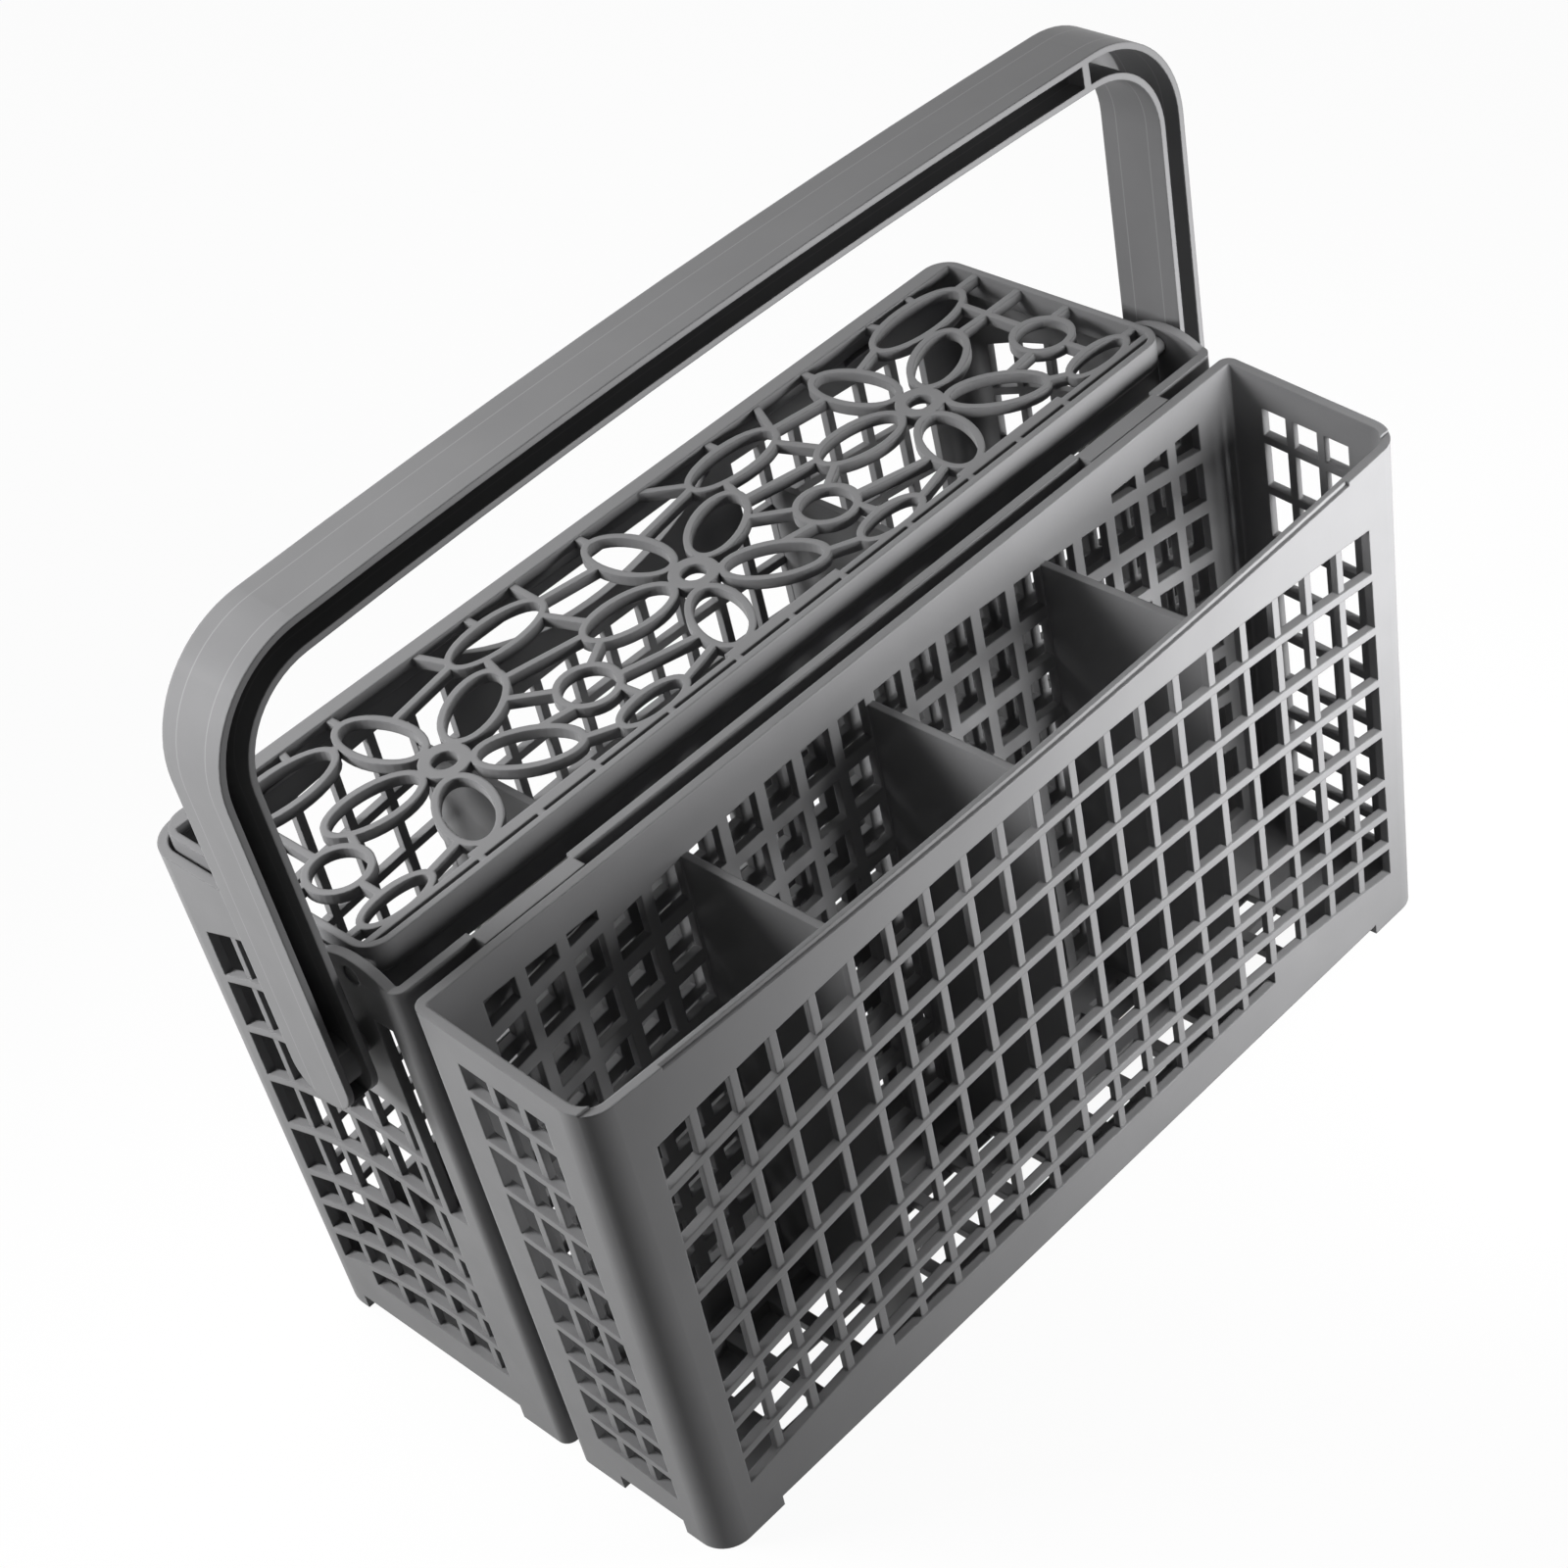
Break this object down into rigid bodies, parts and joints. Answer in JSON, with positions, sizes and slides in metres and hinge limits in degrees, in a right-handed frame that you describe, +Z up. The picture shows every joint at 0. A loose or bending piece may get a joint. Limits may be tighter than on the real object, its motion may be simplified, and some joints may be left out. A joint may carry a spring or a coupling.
{
  "type": "dishwasher cutlery basket",
  "caption": "Dishwasher cutlery basket with grid walls, a lift-off open front half, a hinged flower-lattice lid over the back half and a swinging carry handle.",
  "frame": {"origin": "centre of the overall box in X and Y, on the surface the feet stand on", "axes": "+X along the length, to the right seen from the open front half; +Y towards the lidded back half; +Z up"},
  "size_m": [0.265, 0.1299, 0.2121],
  "materials": {
    "grey_plastic": "satin"
  },
  "bodies": {
    "back_half": {"back_half": "grey_plastic"},
    "front_half": {"front_half": "grey_plastic"},
    "lid": {"lid": "grey_plastic"},
    "handle": {"handle": "grey_plastic"}
  },
  "joints": [
    {"name": "lid_hinge", "type": "hinge", "parent": "back_half", "child": "lid", "pos_m": [0, -0.0011, 0.1325], "axis": [1, 0, 0], "range_deg": [0, 95]},
    {"name": "handle_hinge", "type": "hinge", "parent": "back_half", "child": "handle", "pos_m": [0, 0.0053, 0.112], "axis": [1, 0, 0], "range_deg": [-90, 90]},
    {"name": "front_half_lift", "type": "slide", "parent": "back_half", "child": "front_half", "axis": [0, 0, 1], "range_m": [0, 0.15]}
  ]
}
